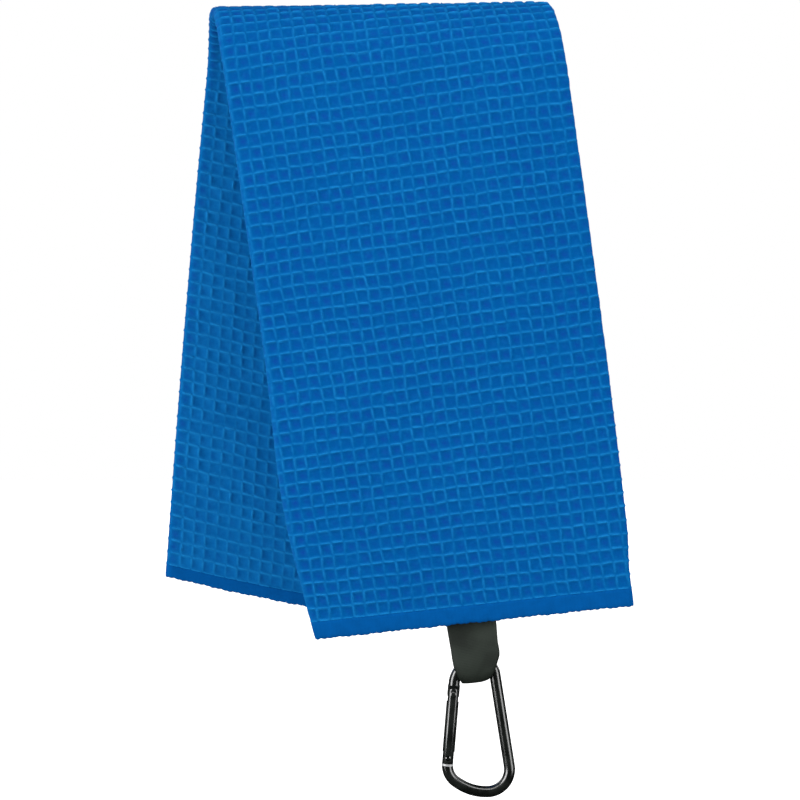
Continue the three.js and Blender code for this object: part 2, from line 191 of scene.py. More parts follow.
def ridges(u, t):
    """The waffle's row ridges, as dashes that break at the columns, its column ridges, which fade
    at the rows, both from 0 to 1, and a painted shade in each cell's hollow middle, whose
    strength differs at random from cell to cell."""
    column, row = (u + HALF_WIDTH) / COLUMN_PITCH, (t - BACK_END - BACK_HEM) / ROW_PITCH
    near_column, near_row = np.round(column), np.round(row)
    off_column, off_row = (column - near_column) * COLUMN_PITCH, (row - near_row) * ROW_PITCH
    cell_column, cell_row = np.floor(column + 1e-6), np.floor(row + 1e-6)
    in_column, in_row = column - cell_column - 0.5, row - cell_row - 0.5

    dash = chance(cell_column, near_row, 1)
    slant = 0.9 * (chance(cell_column, near_row, 3) - 0.5) * in_column
    shift = 0.3 * (chance(cell_column, near_row, 2) - 0.5) + slant
    rows = np.exp(-(((off_row - shift) / ROW_WIDTH) ** 2)) * (0.55 + 0.45 * dash)
    rows = rows * (1 - 0.75 * np.exp(-((off_column / 0.65) ** 2)))

    post = chance(near_column, cell_row, 4)
    slant = 1.1 * (chance(near_column, cell_row, 6) - 0.5) * in_row
    shift = 0.4 * (chance(near_column, cell_row, 5) - 0.5) + slant
    upper = 1 - 0.8 * in_row * np.sign(t)
    strength = np.clip((0.25 + 0.6 * post) * upper, 0, 1)
    columns = np.exp(-(((off_column - shift) / COLUMN_WIDTH) ** 2)) * strength
    columns = columns * (1 - 0.8 * np.exp(-((off_row / 0.8) ** 2)))

    # Painted shade: a dark spot in each cell's hollow middle.
    deep = np.exp(-(((in_column - 0.1) / 0.3) ** 2) - (in_row / 0.3) ** 2)
    return rows, columns, (0.3 + 0.7 * chance(cell_column, cell_row, 7)) * deep


# ---- mesh helpers ------------------------------------------------------------------------------


def new_object(name, points, faces, material, sharp_above=None):
    """An object from points in millimetres, smooth but for edges sharper than the angle."""
    mesh = bpy.data.meshes.new(name)
    mesh.from_pydata((np.asarray(points, float) * MM).tolist(), [], faces)
    mesh.update()
    mesh.shade_smooth()
    if sharp_above is not None:
        mesh.set_sharp_from_angle(angle=math.radians(sharp_above))
    mesh.materials.append(material)
    obj = bpy.data.objects.new(name, mesh)
    bpy.context.scene.collection.objects.link(obj)
    return obj


def grid_faces(rows, columns, closed=False):
    """Quads over a grid of points; closed joins the last column to the first."""
    j, i = np.meshgrid(np.arange(rows - 1), np.arange(columns if closed else columns - 1), indexing="ij")
    k = (i + 1) % columns
    quads = np.stack([j * columns + i, (j + 1) * columns + i, (j + 1) * columns + k, j * columns + k], -1)
    return quads.reshape(-1, 4)


def tube_object(name, rings, material, sharp_above=None):
    """A closed body from rings of points along a line, capped at both ends."""
    stations, around, _ = rings.shape
    faces = grid_faces(stations, around, closed=True).tolist()
    faces.append(list(range(around)))
    faces.append([(stations - 1) * around + k for k in reversed(range(around))])
    obj = new_object(name, rings.reshape(-1, 3), faces, material, sharp_above)
    face_out(obj)
    return obj


def face_out(obj):
    """Turns the faces outward."""
    mesh = obj.data
    mesh.calc_loop_triangles()
    co = np.empty(len(mesh.vertices) * 3, np.float32)
    mesh.vertices.foreach_get("co", co)
    tri = np.empty(len(mesh.loop_triangles) * 3, np.int32)
    mesh.loop_triangles.foreach_get("vertices", tri)
    a, b, c = (co.reshape(-1, 3)[tri.reshape(-1, 3)[:, k]].astype(float) for k in range(3))
    if (a * np.cross(b, c)).sum() < 0:
        mesh.flip_normals()


def uv_layer(obj, name, values):
    """A UV layer from one pair of numbers for each corner of each face."""
    layer = obj.data.uv_layers.new(name=name, do_init=False)
    layer.data.foreach_set("uv", np.asarray(values, np.float32).ravel())


def corner_vertices(obj):
    index = np.empty(len(obj.data.loops), np.int32)
    obj.data.loops.foreach_get("vertex_index", index)
    return index


# ---- materials ---------------------------------------------------------------------------------


class Nodes:
    """A material's node tree, with short calls for the nodes used here."""

    def __init__(self, name):
        self.material = bpy.data.materials.new(name)
        self.material.use_nodes = True
        self.tree = self.material.node_tree
        self.shader = self.tree.nodes["Principled BSDF"]

    def add(self, kind, settings=None, **inputs):
        node = self.tree.nodes.new(kind)
        for key, value in (settings or {}).items():
            setattr(node, key, value)
        for key, value in inputs.items():
            socket = int(key[1:]) if key[1:].isdigit() else key.replace("_", " ")
            self.put(node.inputs[socket], value)
        return node

    def put(self, socket, value):
        if isinstance(value, bpy.types.NodeSocket):
            self.tree.links.new(value, socket)
        elif isinstance(value, bpy.types.Node):
            self.tree.links.new(value.outputs[0], socket)
        else:
            socket.default_value = value

    def flat(self):
        """The place on the flat sheet, in metres."""
        return self.add("ShaderNodeUVMap", {"uv_map": "flat"}).outputs[0]

    def place(self):
        """The place in the object, in metres."""
        return self.add("ShaderNodeTexCoord").outputs["Object"]

    def attribute(self, name):
        return self.add("ShaderNodeAttribute", {"attribute_name": name}).outputs["Fac"]

    def math(self, operation, a, b=0.0, clamp=False):
        settings = {"operation": operation, "use_clamp": clamp}
        return self.add("ShaderNodeMath", settings, _0=a, _1=b).outputs[0]

    def noise(self, vector, scale, detail=2.0, roughness=0.5):
        inputs = {"Vector": vector, "Scale": scale, "Detail": detail, "Roughness": roughness}
        return self.add("ShaderNodeTexNoise", **inputs).outputs[0]

    def bands(self, vector, direction, scale, distortion, **inputs):
        settings = {"bands_direction": direction}
        inputs.update(Vector=vector, Scale=scale, Distortion=distortion)
        return self.add("ShaderNodeTexWave", settings, **inputs).outputs[1]

    def grey(self, value):
        return self.add("ShaderNodeCombineColor", _0=value, _1=value, _2=value).outputs[0]

    def mix(self, factor, a, b, blend="MIX"):
        node = self.add("ShaderNodeMix", {"data_type": "RGBA", "blend_type": blend})
        self.put(node.inputs[0], factor)
        self.put(node.inputs[6], a)
        self.put(node.inputs[7], b)
        return node.outputs[2]

    def span(self, value, low, high, to_low=0.0, to_high=1.0):
        return self.add("ShaderNodeMapRange", _0=value, _1=low, _2=high, _3=to_low, _4=to_high).outputs[0]

    def finish(self, color, roughness, height=None, strength=0.3, distance=0.0003, **sockets):
        self.put(self.shader.inputs["Base Color"], color)
        self.put(self.shader.inputs["Roughness"], roughness)
        if height is not None:
            bump = self.add("ShaderNodeBump", Strength=strength, Distance=distance, Height=height)
            self.put(self.shader.inputs["Normal"], bump.outputs[0])
        for key, value in sockets.items():
            self.shader.inputs[key.replace("_", " ")].default_value = value
        return self.material


def linear(*rgb):
    """A colour from its sRGB values of 0 to 255."""
    shares = [value / 255 for value in rgb]
    return tuple(c / 12.92 if c <= 0.04045 else ((c + 0.055) / 1.055) ** 2.4 for c in shares) + (1.0,)


def waffle_material():
    n = Nodes("waffle_cloth")
    flat = n.flat()
    relief_and_painted_light = n.attribute("relief_and_painted_light")
    patches = n.noise(flat, 26.0, 2.0)
    blotches = n.noise(flat, 420.0, 2.0)
    fibres = n.noise(flat, 3200.0, 3.0, 0.6)
    # Painted shade: the tone attribute darkens each cell's hollow middle towards a deeper violet.
    floor_color = n.mix(n.attribute("painted_pit_shade"), linear(0, 85, 151), linear(11, 69, 151))
    # Painted light: the relief attribute lifts the colour towards the lighter ridge colour on the ridges
    # (partly the yarn's own colour, partly painted highlight, with painted shade left on the cell floors),
    # over the left fold and on the inner third past it; random blotches shift it a little.
    painted_light_and_blotches = n.math("ADD", relief_and_painted_light, n.span(blotches, 0.3, 0.7, -0.1, 0.1), clamp=True)
    color = n.mix(painted_light_and_blotches, floor_color, linear(25, 128, 197))
    darker = n.mix(1.0, color, (0.84, 0.88, 0.92, 1), "MULTIPLY")
    color = n.mix(n.span(patches, 0.35, 0.7, 0.0, 0.6), color, darker)
    shade = n.span(fibres, 0.3, 0.7, 0.9, 1.08)
    color = n.mix(1.0, color, n.grey(shade), "MULTIPLY")
    roughness = n.span(fibres, 0.3, 0.7, 0.88, 0.98)
    return n.finish(color, roughness, fibres, 0.35, 0.0004, Specular_IOR_Level=0.02)


def hem_material():
    n = Nodes("hem_thread")
    flat = n.flat()
    threads = n.bands(flat, "X", 190.0, 3.0, Detail=2.0, Detail_Scale=2.0)
    fibres = n.noise(flat, 2600.0, 3.0, 0.6)
    blotches = n.noise(flat, 240.0, 2.0)
    color = n.mix(n.span(threads, 0.2, 0.9, 0.0, 0.08), linear(2, 80, 149), linear(10, 94, 164))
    shade = n.span(n.math("ADD", fibres, blotches), 0.7, 1.3, 0.88, 1.08)
    color = n.mix(1.0, color, n.grey(shade), "MULTIPLY")
    height = n.math("ADD", n.math("MULTIPLY", threads, 0.06), n.math("MULTIPLY", fibres, 0.94))
    roughness = n.span(fibres, 0.3, 0.7, 0.86, 0.96)
    return n.finish(color, roughness, height, 0.25, 0.0003, Specular_IOR_Level=0.02)


def webbing_material():
    n = Nodes("black_webbing")
    flat = n.flat()
    ribs = n.bands(flat, "X", 620.0, 0.8, Detail=1.0)
    picks = n.bands(flat, "Y", 480.0, 1.0, Detail=1.0)
    fibres = n.noise(flat, 4200.0, 2.0)
    patches = n.noise(flat, 70.0, 2.0)
    weave = n.math("MULTIPLY", ribs, picks)
    color = n.mix(n.span(weave, 0.0, 0.8, 0.0, 1.0), linear(27, 35, 28), linear(38, 46, 39))
    # Painted highlight and painted shade: lighter and darker patches, placed by noise, stand in for the
    # strap's lit patch and the dark zones where it curls away.
    color = n.mix(n.span(patches, 0.4, 0.7, 0.0, 0.6), color, linear(48, 56, 49))
    color = n.mix(n.span(patches, 0.32, 0.5, 0.6, 0.0), color, linear(18, 24, 19))
    height = n.math("ADD", n.math("MULTIPLY", weave, 0.7), n.math("MULTIPLY", fibres, 0.3))
    roughness = n.span(fibres, 0.3, 0.7, 0.55, 0.7)
    return n.finish(color, roughness, height, 0.3, 0.0002, Specular_IOR_Level=0.3)


def thread_material():
    n = Nodes("black_thread")
    place = n.place()
    twist = n.noise(place, 3000.0, 2.0)
    color = n.mix(twist, linear(18, 21, 19), linear(40, 45, 42))
    roughness = n.span(twist, 0.3, 0.7, 0.6, 0.8)
    return n.finish(color, roughness, twist, 0.4, 0.0002, Specular_IOR_Level=0.3)


def anodised_material():
    n = Nodes("black_anodised")
    place = n.place()
    grain = n.noise(place, 2400.0, 3.0, 0.6)
    worn = n.noise(place, 160.0, 2.0)
    color = n.mix(n.span(worn, 0.35, 0.75), linear(14, 17, 15), linear(30, 35, 32))
    roughness = n.math("ADD", n.span(worn, 0.3, 0.7, 0.2, 0.27), n.span(grain, 0.3, 0.7, -0.02, 0.03))
    return n.finish(color, roughness, grain, 0.05, 0.0001, IOR=2.3)


def steel_material():
    n = Nodes("bare_steel")
    place = n.place()
    stretched = n.add("ShaderNodeMapping", Vector=place, Scale=(400.0, 400.0, 4000.0)).outputs[0]
    lines = n.noise(stretched, 1.0, 2.0)
    color = n.mix(lines, linear(196, 198, 199), linear(226, 227, 228))
    # Only half metallic, so bare metal stays light in diffuse light too; on the nose face this paints in
    # the reflection of the light from above.
    return n.finish(color, n.span(lines, 0.3, 0.7, 0.35, 0.5), lines, 0.08, 0.0001, Metallic=0.45)


waffle, hem_thread, webbing_black = waffle_material(), hem_material(), webbing_material()
black_thread, anodised, bare_steel = thread_material(), anodised_material(), steel_material()

# ---- the cloth ---------------------------------------------------------------------------------

# Shares of a waffle cell where the mesh has a line: on the outer panel, round the folds, on the left
# third, which faces the rail, and on the right third, which the other two hide.
FINE = (0, 0.09, 0.2, 0.5, 0.8, 0.91)
FOLD = (0, 0.09, 0.2, 0.3, 0.4, 0.5, 0.6, 0.7, 0.8, 0.91)
INSIDE = (0, 0.15, 0.85)
HIDDEN = (0,)


def columns_across():
    """Places across the flat cloth, and which of them are cell edges."""
    places, edges = [], []
    for cell in range(int(2 * HALF_WIDTH / COLUMN_PITCH)):
        low = -HALF_WIDTH + cell * COLUMN_PITCH
        middle = low + COLUMN_PITCH / 2
        if LEFT_BEND[0] < middle < LEFT_BEND[1] or RIGHT_BEND[0] < middle < RIGHT_BEND[1]:
            shares = FOLD
        elif LEFT_BEND[0] < middle < RIGHT_BEND[1]:
            shares = FINE
        else:
            shares = INSIDE if middle < 0 else HIDDEN
        edges.append(len(places))
        places += [low + share * COLUMN_PITCH for share in shares]
    edges.append(len(places))
    return np.array(places + [HALF_WIDTH]), edges


def rows_along():
    """Places along the flat cloth, which goes a little way into each end's hem."""
    into = (2.6, 1.2, 0.5)
    first = BACK_END + BACK_HEM
    places, edges = [first - x for x in into], [0]
    for cell in range(ROWS):
        edges.append(len(places))
        places += [first + (cell + share) * ROW_PITCH for share in FINE]
    edges.append(len(places))
    last = FRONT_END - FRONT_HEM
    places += [last] + [last + x for x in reversed(into)]
    edges.append(len(places) - 1)
    return np.array(places), edges


def waffle_cloth():
    across, cross_edges = columns_across()
    along, row_edges = rows_along()
    u, t = np.meshgrid(across, along)
    rows, columns, painted_pit_shade = ridges(u, t)
    *_, bend_l, bend_r = section(u, t)
    in_hem = smooth(np.maximum(t - FRONT_END + FRONT_HEM, BACK_END + BACK_HEM - t) / 1.2)
    smooth_roll = np.where(t > 20, 0.75, 0.62)
    flat_crest = 1 - 0.6 * np.exp(-((t / 6) ** 2))
    fade = (1 - smooth_roll * bend_l) * (1 - 0.62 * bend_r) * (1 - in_hem) * flat_crest
    relief_and_painted_light = (1 - (1 - rows) * (1 - columns)) * fade
    stray_t, stray_u = wobble(u, t)
    calm = 1 - smooth((np.abs(t) - 262) / 12)
    height = FLOOR + (RIDGE - FLOOR) * relief_and_painted_light
    face = cloth_point(u + stray_u * calm, t + stray_t * calm, height)
    uu, tt = np.meshgrid(across[cross_edges], along[row_edges])
    reverse = cloth_point(uu, tt, -REVERSE)

    many, few = len(across), len(cross_edges)
    base = face.shape[0] * many
    faces = grid_faces(len(along), many).tolist()
    faces += (base + grid_faces(len(row_edges), few)[:, ::-1]).tolist()
    last_row, last_column = len(along) - 1, many - 1
    for k, (a, b) in enumerate(zip(cross_edges, cross_edges[1:])):
        top = [base + k + 1, base + k]
        low = base + (len(row_edges) - 1) * few + k
        faces.append(list(range(a, b + 1)) + top)
        faces.append([last_row * many + i for i in range(b, a - 1, -1)] + [low, low + 1])
    for k, (a, b) in enumerate(zip(row_edges, row_edges[1:])):
        near, far = base + k * few, base + k * few + few - 1
        faces.append([j * many for j in range(b, a - 1, -1)] + [near, near + few])
        faces.append([j * many + last_column for j in range(a, b + 1)] + [far + few, far])
    points = np.concatenate([face.reshape(-1, 3), reverse.reshape(-1, 3)])
    obj = new_object("waffle_cloth", points, faces, waffle, sharp_above=80)
    face_out(obj)

    # Painted light for the colour: the ridges lighter, the row ridges, which face the light from above,
    # more than the columns, a lighter band over the left fold on the front half, and the inner third past
    # the left fold lighter against the front half's shadow. The ridges' lighter colour is partly the
    # yarn's own.
    light = (rows + 0.78 * columns) * fade + 0.25 * bend_l * (t > 0) + 0.2 * smooth((-72 - u) / 7)
    # The painted shade in the cells' hollows, kept off the ridges.
    painted_pit_shade = painted_pit_shade * (1 - rows) * (1 - columns)
    for name, values, on_reverse in (("relief_and_painted_light", light, 0.2), ("painted_pit_shade", painted_pit_shade, 0.5)):
        values = np.concatenate([np.clip(values, 0, 1).ravel(), np.full(uu.size, on_reverse)])
        attribute = obj.data.attributes.new(name, "FLOAT", "POINT")
        attribute.data.foreach_set("value", values.astype(np.float32))

    flat = np.stack([np.concatenate([u.ravel(), uu.ravel()]), np.concatenate([t.ravel(), tt.ravel()])], -1)
    index = corner_vertices(obj)
    uv_layer(obj, "flat", flat[index] * MM)
    uv_layer(obj, "OFBake", bake_layout(obj, flat, index, len(across), cross_edges, base))
    return obj


def bake_layout(obj, flat, index, many, cross_edges, base):
    """A flat layout: the outer panel's two halves side by side, the two thirds inside the fold
    and the reverse side as strips below them."""
    totals = np.empty(len(obj.data.polygons), np.int32)
    obj.data.polygons.foreach_get("loop_total", totals)
    owner = np.repeat(np.arange(len(totals)), totals)
    middle = np.stack([np.bincount(owner, flat[index][:, k]) / totals for k in (0, 1)], -1)
    is_reverse = np.bincount(owner, index >= base) > 0
    x, y = flat[index].T
    u_mid, t_mid, on_reverse = middle[owner, 0], middle[owner, 1], is_reverse[owner]
    length = FRONT_END - BACK_END
    low, high = LEFT_BEND[0], RIGHT_BEND[1]

    def across(start, end):
        return (x - start) / (end - start)

    half = np.where(t_mid > 0, 0.0, 0.505)
    outer = np.stack([half + across(low, high) * 0.49, 0.15 + np.abs(y) / (length / 2) * 0.845], -1)
    along = 0.005 + (y - BACK_END) / length * 0.99
    left = np.stack([along, 0.075 + across(-HALF_WIDTH, low) * 0.06], -1)
    right = np.stack([along, 0.035 + across(high, HALF_WIDTH) * 0.03], -1)
    back = np.stack([along, 0.002 + across(-HALF_WIDTH, HALF_WIDTH) * 0.025], -1)
    inside = np.where((u_mid < 0)[:, None], left, right)
    face = np.where(((u_mid > low) & (u_mid < high))[:, None], outer, inside)
    return np.where(on_reverse[:, None], back, face)


HEM_PROFILE = np.array(
    # share of the hem back from the edge, height: the overlocked edge's rounded section
    [
        (1.0, 0.35), (0.96, 0.82), (0.82, 0.94), (0.54, 1.0), (0.25, 1.0), (0.1, 0.84), (0.02, 0.42),
        (0.0, -0.05), (0.03, -0.5), (0.11, -0.86), (0.29, -1.0), (0.82, -1.0), (0.96, -0.85), (1.0, -0.3),
    ]
)


def hem(name, places, edge, width, point):
    """An overlocked hem along one edge of the flat cloth: point gives a place along the edge,
    a distance across it and a height their point in the folded towel."""
    side = 1 if edge > 0 else -1
    back, height = HEM_PROFILE[:, 0] * width, HEM_PROFILE[:, 1]
    near_edge = np.clip(1 - back / 2.2, 0, 1)
    rings = []
    for place in places:
        stitches = 0.3 * abs(math.sin(math.pi * place / STITCH_PITCH))
        lump = stitches + 0.14 * math.sin(place / 1.1) + 0.14 * math.sin(place / 4.3)
        rings.append(point(place, edge - side * (back - (lump - 0.2) * near_edge), height))
    obj = tube_object(name, np.stack(rings), hem_thread)
    run = np.concatenate([[0], np.cumsum(np.hypot(*np.diff(np.stack([back, height]), axis=1)))])
    flat = np.stack(np.meshgrid(places, run, indexing="ij"), -1).reshape(-1, 2)
    uv_layer(obj, "flat", flat[corner_vertices(obj)] * MM)
    return obj


def across_end(u, t, height):
    """The hem across an end is pressed flat where it turns round the folds."""
    across = np.full(len(t), u)
    *_, bend_l, bend_r = section(across, t)
    return cloth_point(across, t, height * (1 - 0.7 * np.maximum(bend_l, bend_r) * (height > 0)))


def down_side(t, u, height):
    return cloth_point(u, np.full(len(u), t), height)


cloth = waffle_cloth()
end_places = np.linspace(-HALF_WIDTH, HALF_WIDTH, 801)
side_places = np.linspace(BACK_END + 1.5, FRONT_END - 1.5, 431)
front_edge = hem("front_hem_overlock", end_places, FRONT_END, FRONT_HEM, across_end)
back_edge = hem("back_hem_overlock", end_places, BACK_END, BACK_HEM, across_end)
left_edge = hem("left_side_overlock", side_places, -HALF_WIDTH, SIDE_HEM, down_side)
right_edge = hem("right_side_overlock", side_places, HALF_WIDTH, SIDE_HEM, down_side)

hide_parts("towel_top_fold", "towel_back_half", "towel_front_half")
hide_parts("front_hem")
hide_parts("back_hem")
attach(front_edge, "front_half")
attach(back_edge, "towel")
for piece in (cloth, left_edge, right_edge):
    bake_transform(piece)

# ---- the webbing -------------------------------------------------------------------------------

WEBBING_WIDTH, WEBBING_THICKNESS = 20.0, 1.2
LOOP_TOP = joints["loop_swing"]
LOOP_LENGTH = 22.9
TAIL_LENGTH = 19.0
SEWN = 0.75  # half the distance between the plies' middles where they are sewn
LOOP_HALF = 4.8  # and round the turn
# The loop's left and right edges from its top's middle, at shares of the loop's length.
LEFT_FALLS = (0, 0.38, 0.6, 0.68, 0.86, 0.95, 1.0)
LEFT_EDGES = (-10.0, -8.5, -7.7, -7.2, -5.3, -4.3, -3.6)
RIGHT_FALLS = (0, 0.3, 0.46, 0.54, 0.7, 0.8, 0.95, 1.0)
RIGHT_EDGES = (9.9, 10.4, 11.0, 11.0, 9.7, 8.8, 7.0, 6.3)
SELVEDGE = 0.25  # how far the tape's rounded edge stands out


def webbing_line():
    """Stations down the front ply, round the turn and up the back ply: how far the middle is
    before or behind the plane, how far up, and which ply, 1 front to -1 back."""
    turn = -(LOOP_LENGTH - LOOP_HALF - WEBBING_THICKNESS / 2)
    tail = [(-SEWN, z, 1.0) for z in np.linspace(TAIL_LENGTH, 1.5, 14)]
    ply = []
    for share in np.linspace(0, 1, 22):
        ply.append((-(SEWN + (LOOP_HALF - SEWN) * float(smooth(share))), turn * share, 1.0))
    bend = []
    for angle in np.linspace(0, math.pi, 26)[1:-1]:
        bend.append((-LOOP_HALF * math.cos(angle), turn - LOOP_HALF * math.sin(angle), math.cos(angle)))
    front = tail + ply
    back = [(-y, z, -w) for y, z, w in reversed(front)]
    return np.array(front + bend + back)


def webbing():
    line = webbing_line()
    across = np.linspace(-1, 1, 21)
    y0, up, ply = (line[:, k][:, None] for k in range(3))
    q = np.broadcast_to(across, (len(line), len(across)))
    fall = np.clip(-up / LOOP_LENGTH, 0, 1)
    left, right = np.interp(fall, LEFT_FALLS, LEFT_EDGES), np.interp(fall, RIGHT_FALLS, RIGHT_EDGES)
    lean = math.tan(LEAN) * np.minimum(-up, 0)
    x = left + (right - left) * (q + 1) / 2 + lean
    tilt = 0.144 - 0.03 * smooth((fall - 0.4) / 0.6)
    corners = np.where(q < 0, 0.3, 0.8) * np.abs(q) ** 3 * smooth((fall - 0.75) / 0.2)
    z = up + (x - (left + right) / 2 - lean) * tilt + corners
    crown = 1.5 * smooth(fall / 0.55) * (1 - 0.5 * smooth((fall - 0.85) / 0.15))
    curl = 1 - 1.05 * np.abs(q) ** 4
    turned = smooth((q - 0.35) / 0.65) * smooth((fall - 0.2) / 0.25) * np.maximum(ply, 0)
    y = y0 - crown * curl * ply + 0.35 * turned
    middle = np.stack(np.broadcast_arrays(x, y, z), -1)
    down, over = np.gradient(middle, axis=0), np.gradient(middle, axis=1)
    normal = np.cross(over, down)
    normal /= np.linalg.norm(normal, axis=-1, keepdims=True)
    half = WEBBING_THICKNESS / 2
    out = over / np.linalg.norm(over, axis=-1, keepdims=True)
    outer, inner = middle + normal * half, middle - normal * half
    right_side = middle[:, -1:] + out[:, -1:] * SELVEDGE
    left_side = middle[:, :1] - out[:, :1] * SELVEDGE
    rings = np.concatenate([outer, right_side, inner[:, ::-1], left_side], axis=1)
    obj = tube_object("webbing_strap", rings + np.array(LOOP_TOP), webbing_black, sharp_above=70)
    step = np.linalg.norm(np.diff(middle[:, 10], axis=0), axis=1)
    run = np.concatenate([[0], np.cumsum(step)])
    around = np.concatenate([across, [1.1], across[::-1] + 2.2, [3.3]]) * WEBBING_WIDTH / 2
    flat = np.stack(np.meshgrid(run, around, indexing="ij"), -1).reshape(-1, 2)[:, ::-1]
    uv_layer(obj, "flat", flat[corner_vertices(obj)] * MM)
    return obj, float(run[-1])


def tube(name, path, radius, sides, material, sharp_above=None, side_axis=(0, 1, 0)):
    """A round bar along a path in a plane that side_axis stands on. The radius is one number, or
    one for each point of the path."""
    path = np.asarray(path, float)
    along = np.gradient(path, axis=0)
    along /= np.linalg.norm(along, axis=1, keepdims=True)
    side = np.array(side_axis, float)
    normal = np.cross(along, side)
    normal /= np.linalg.norm(normal, axis=1, keepdims=True)
    turn = 2 * np.pi * np.arange(sides) / sides
    size = np.broadcast_to(radius, len(path))[:, None, None]
    ring = normal[:, None] * np.cos(turn)[None, :, None] + side * np.sin(turn)[None, :, None]
    return tube_object(name, path[:, None] + size * ring, material, sharp_above)


def bar_tack(name, node):
    """A dense zigzag of thread that sews the webbing's tail in."""
    low, high = (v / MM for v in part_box(node))
    width, count = 17.0, 34
    middle_x, middle_z = (low.x + high.x) / 2, (low.z + high.z) / 2
    turns = np.arange(2 * count + 1)
    across = np.linspace(-width / 2, width / 2, len(turns)) * COS
    rise = np.where(turns % 2 == 0, 0.68, -0.68)
    y = np.full(len(turns), (low.y + high.y) / 2) + np.where(turns % 4 < 2, 0.06, -0.06)
    path = np.stack([middle_x + across + rise * SIN, y, middle_z + across * SIN + rise * COS], -1)
    return tube(name, path, 0.2, 8, black_thread)


strap, strap_length = webbing()
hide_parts("webbing_tail", "webbing_loop")
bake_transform(strap)
for node in ("lower_bar_tack", "upper_bar_tack"):
    tack = bar_tack(node + "_thread", node)
    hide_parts(node)
    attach(tack, "front_half")

# ---- the carabiner -----------------------------------------------------------------------------

WIRE, GATE = 4.7, 5.1
HANG_POINT = np.array([41.4, LOOP_TOP.y, -272.6])
CORNERS = (  # corners of the wire's centre line in the carabiner's plane, and their bend radii
    (-9.38, 2.34, 9.6),
    (5.93, 2.34, 5.95),
    (14.44, -51.68, 9.3),
    (-3.15, -51.68, 20.3),
    (-13.28, -45.0, 8.2),
)
PIVOT_BELOW_CORNER, GATE_LENGTH, HINGE_SHOULDER, JOINT_GAP = 13.6, 28.6, 3.0, 0.3
TONGUE_THICKNESS, TONGUE_RADIUS = 2.0, 2.5
NOSE_THICKNESS, NOSE_HEIGHT, NOSE_WIDTH = 1.8, 4.2, 4.6
SLOT_CLEARANCE = 0.6
RIVET_SHAFT, RIVET_HEAD, PIN = 1.7, 2.5, 1.5
PIN_HEIGHT = -GATE_LENGTH + 2.1
SPRING_BORE, SPRING_BORE_DEPTH = 1.35, 12.7
BROKEN_EDGE, WIRE_CHAMFER = 0.14, 0.22
RIM_LENGTH = 0.85  # of the bare nose face, which is a piece of its own; its light colour also paints in a reflection

points2 = [np.array(c[:2]) for c in CORNERS]
gate_side = (points2[-1] - points2[0]) / np.linalg.norm(points2[-1] - points2[0])
pivot = points2[0] + gate_side * PIVOT_BELOW_CORNER
gate_tilt = math.atan2(-gate_side[0], -gate_side[1])
pivot_point = Vector(HANG_POINT) + Vector((pivot[0], 0, pivot[1]))
alongside = Matrix.Translation(pivot_point) @ Matrix.Rotation(gate_tilt, 4, "Y")


def wire_path():
    """The wire's centre line from its hinge shoulder over the bow and round to its nose."""
    path = [pivot - gate_side * HINGE_SHOULDER]
    count = len(points2)
    for k, (here, (_, _, radius)) in enumerate(zip(points2, CORNERS)):
        to_before = points2[k - 1] - here
        to_after = points2[(k + 1) % count] - here
        to_before /= np.linalg.norm(to_before)
        to_after /= np.linalg.norm(to_after)
        half = math.acos(float(to_before @ to_after)) / 2
        inward = (to_before + to_after) / np.linalg.norm(to_before + to_after)
        centre = here + inward * radius / math.sin(half)
        first = here + to_before * radius / math.tan(half)
        last = here + to_after * radius / math.tan(half)
        a0 = math.atan2(*(first - centre)[::-1])
        turn = (math.atan2(*(last - centre)[::-1]) - a0) % (2 * math.pi) - 2 * math.pi
        steps = max(6, int(-turn / math.radians(5)))
        path.append(first)
        path += [
            centre + radius * np.array([math.cos(a0 + turn * s), math.sin(a0 + turn * s)])
            for s in np.linspace(0, 1, steps + 1)[1:]
        ]
    path.append(pivot + gate_side * (GATE_LENGTH + JOINT_GAP))
    return np.array(path)


def subdivided(path, step):
    """The same line with points no further apart than step."""
    out = [path[0]]
    for a, b in zip(path, path[1:]):
        count = max(1, int(math.ceil(np.linalg.norm(b - a) / step)))
        out += [a + (b - a) * k / count for k in range(1, count + 1)]
    return np.array(out)


def in_space(path2):
    """The points of a line in the carabiner's plane."""
    return np.stack([path2[:, 0], np.zeros(len(path2)), path2[:, 1]], -1) + HANG_POINT


def along_gate(mesh):
    """Moves a mesh made about the gate's pivot, with the gate straight down, to its place."""
    mesh.transform(Matrix.Scale(MM, 4) @ alongside @ Matrix.Scale(1 / MM, 4))


def prism(outline, half_depth):
    """Points and faces of an outline in the X-Z plane, extended both ways along Y."""
    n = len(outline)
    points = [(x, y, z) for y in (-half_depth, half_depth) for x, z in outline]
    faces = [list(range(n)), [n + k for k in reversed(range(n))]]
    faces += [[k, n + k, n + (k + 1) % n, (k + 1) % n] for k in range(n)]
    return points, faces


def box_outline(half_width, low, high):
    return [(-half_width, low), (half_width, low), (half_width, high), (-half_width, high)]


def rounded_bar(radius, far, steps=24):
    """A bar's outline with a round end about the origin, and its other end at far."""
    arc = [(radius * math.cos(a), radius * math.sin(a)) for a in np.linspace(0, math.pi, steps + 1)]
    bar = [(-radius, -abs(far)), (radius, -abs(far))] + arc
    return [(x, -z) for x, z in reversed(bar)] if far > 0 else bar


def box_cutter(half_width, depth, low, high):
    return prism(box_outline(half_width, low, high), depth / 2)


def rod_mesh(radius, low, high, sides):
    """Points and faces of a rod along Z."""
    ring = [(radius * math.cos(a), radius * math.sin(a)) for a in 2 * np.pi * np.arange(sides) / sides]
    points = [(x, y, z) for z in (low, high) for x, y in ring]
    faces = [list(reversed(range(sides))), [sides + k for k in range(sides)]]
    faces += [[k, (k + 1) % sides, sides + (k + 1) % sides, sides + k] for k in range(sides)]
    return points, faces


def cross_mesh(radius, half_depth, centre_z, sides=32):
    """Points and faces of a rod along Y."""
    angles = 2 * np.pi * np.arange(sides) / sides
    return prism([(radius * math.cos(a), centre_z + radius * math.sin(a)) for a in angles], half_depth)


